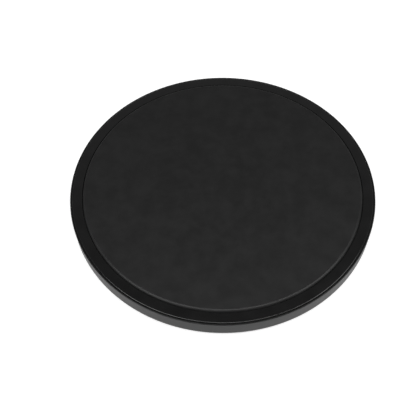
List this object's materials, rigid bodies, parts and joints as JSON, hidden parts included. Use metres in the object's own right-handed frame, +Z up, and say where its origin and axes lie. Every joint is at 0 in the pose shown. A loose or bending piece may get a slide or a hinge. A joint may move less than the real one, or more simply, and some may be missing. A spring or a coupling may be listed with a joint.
{
  "type": "drum practice pad",
  "caption": "Round drum practice pad: a rubber playing face held in a moulded plastic tray by a flat top ring, over foam and a board, with rubber feet and a threaded stand bush underneath.",
  "frame": {"origin": "on the surface it stands on, under the middle of the pad, at the soles of the feet", "axes": "+Z up through the playing face, the pad's axis; +Y away from the player; +X to the player's right, through the middle of one foot"},
  "size_m": [0.3048, 0.3048, 0.022],
  "materials": {
    "pad_rubber": "matte gum rubber with a faint mottle",
    "tray_plastic": "satin black ABS on the wall, a fine spark-eroded grain on the underside",
    "ring_plastic": "semi-gloss black ABS",
    "foam": "closed-cell EVA foam, dark grey",
    "fibreboard": "raw medium-density fibreboard",
    "foot_rubber": "matte moulded rubber",
    "zinc_plated_steel": "turned steel, bright zinc plated",
    "black_steel": "steel, black oxide"
  },
  "bodies": {
    "root": {"base_tray": "tray_plastic", "top_ring": "ring_plastic", "playing_pad": "pad_rubber", "foam_layer": "foam", "core_board": "fibreboard", "stand_bush": "zinc_plated_steel", "bush_screw_1": "zinc_plated_steel", "bush_screw_2": "zinc_plated_steel", "bush_screw_3": "zinc_plated_steel", "core_screw_1": "black_steel", "core_screw_2": "black_steel", "core_screw_3": "black_steel", "case_screw_1": "black_steel", "case_screw_2": "black_steel", "case_screw_3": "black_steel", "case_screw_4": "black_steel", "case_screw_5": "black_steel", "case_screw_6": "black_steel", "foot_1": "foot_rubber", "foot_2": "foot_rubber", "foot_3": "foot_rubber", "foot_4": "foot_rubber", "foot_5": "foot_rubber", "foot_6": "foot_rubber"}
  },
  "joints": []
}
